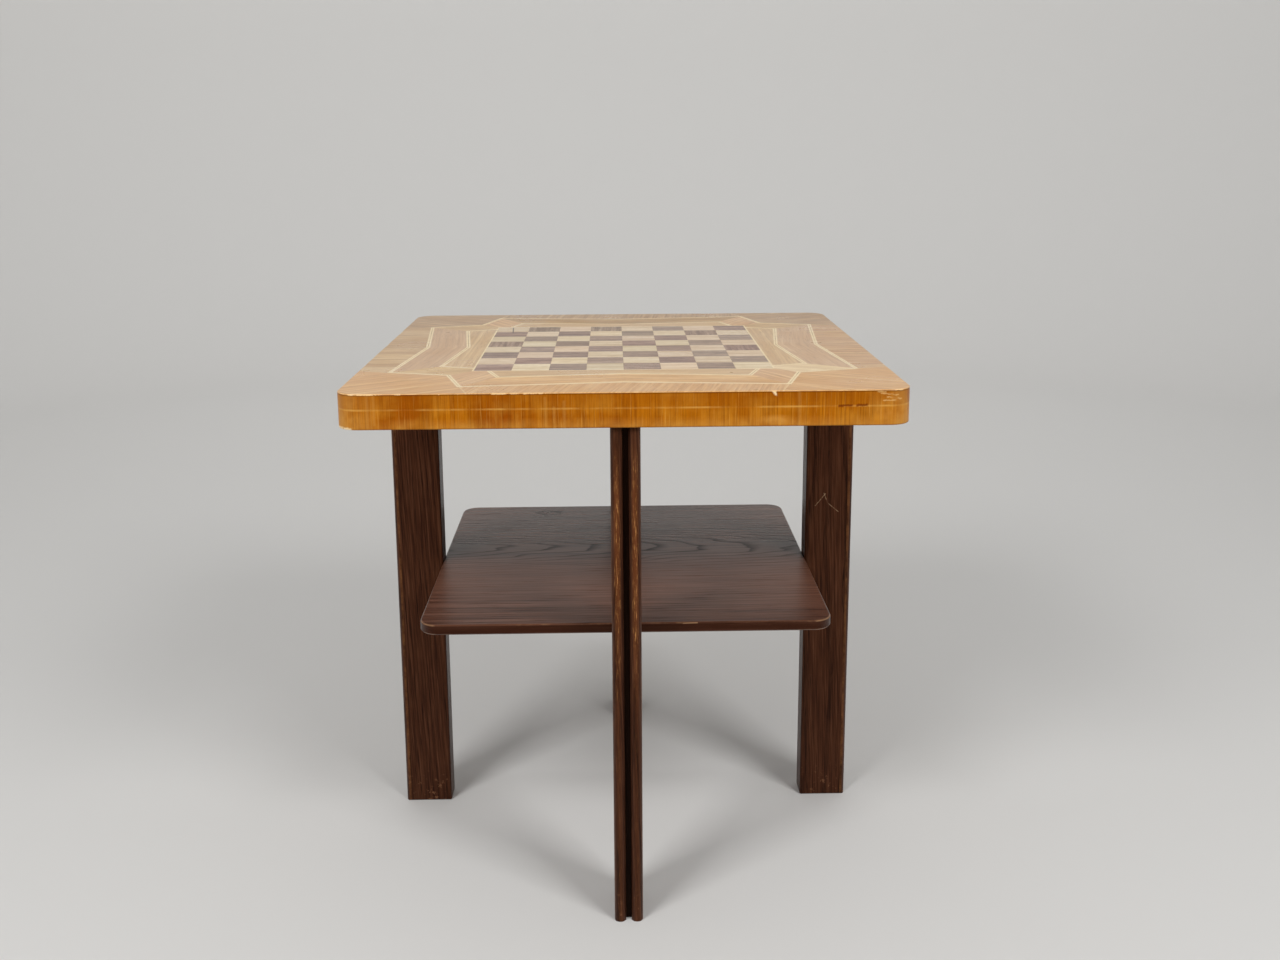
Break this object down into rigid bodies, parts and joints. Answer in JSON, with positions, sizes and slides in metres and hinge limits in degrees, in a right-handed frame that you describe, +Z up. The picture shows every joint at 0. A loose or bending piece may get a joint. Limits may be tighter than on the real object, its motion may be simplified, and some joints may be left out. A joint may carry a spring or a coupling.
{
  "type": "chess table",
  "caption": "Square occasional table with an inlaid chessboard in a marquetry top, radial slab legs with reeded outer edges at the middle of each side, and a lower shelf.",
  "frame": {"origin": "on the floor under the middle of the table", "axes": "+Z up, -Y the front, +X the right-hand side seen from the front"},
  "size_m": [0.6, 0.6, 0.612],
  "materials": {
    "stained_oak": "dark stain, satin varnish",
    "edge_veneer": "amber gloss lacquer",
    "field_veneer": "satin lacquer",
    "band_veneer": "satin lacquer",
    "walnut": "satin lacquer",
    "maple": "satin lacquer",
    "pine": "unfinished, planed",
    "beech": "unfinished, turned",
    "steel": "plain"
  },
  "bodies": {
    "root": {"band_back": "band_veneer", "band_end_back_left": "band_veneer", "band_end_back_right": "band_veneer", "band_end_front_left": "band_veneer", "band_end_front_right": "band_veneer", "band_end_left_back": "band_veneer", "band_end_left_front": "band_veneer", "band_end_right_back": "band_veneer", "band_end_right_front": "band_veneer", "band_front": "band_veneer", "band_left": "band_veneer", "band_right": "band_veneer", "block_screws": "steel", "board_border": "maple", "core_board": "pine", "corner_blocks": "pine", "cross_rail_front_to_back": "pine", "cross_rail_side_to_side": "pine", "dark_squares": "walnut", "edge_rail_back": "pine", "edge_rail_front": "pine", "edge_rail_left": "pine", "edge_rail_right": "pine", "edge_veneer_back": "edge_veneer", "edge_veneer_front": "edge_veneer", "edge_veneer_left": "edge_veneer", "edge_veneer_right": "edge_veneer", "inner_field_back": "field_veneer", "inner_field_front": "field_veneer", "inner_field_left": "field_veneer", "inner_field_right": "field_veneer", "inner_string": "maple", "leg_back": "stained_oak", "leg_dowels": "beech", "leg_front": "stained_oak", "leg_left": "stained_oak", "leg_right": "stained_oak", "light_squares": "maple", "outer_field_back": "field_veneer", "outer_field_back_left": "field_veneer", "outer_field_back_right": "field_veneer", "outer_field_front": "field_veneer", "outer_field_front_left": "field_veneer", "outer_field_front_right": "field_veneer", "outer_field_left": "field_veneer", "outer_field_right": "field_veneer", "outer_string_corners": "maple", "outer_string_sides": "maple", "shelf": "stained_oak", "shelf_dowels": "beech"}
  },
  "joints": []
}
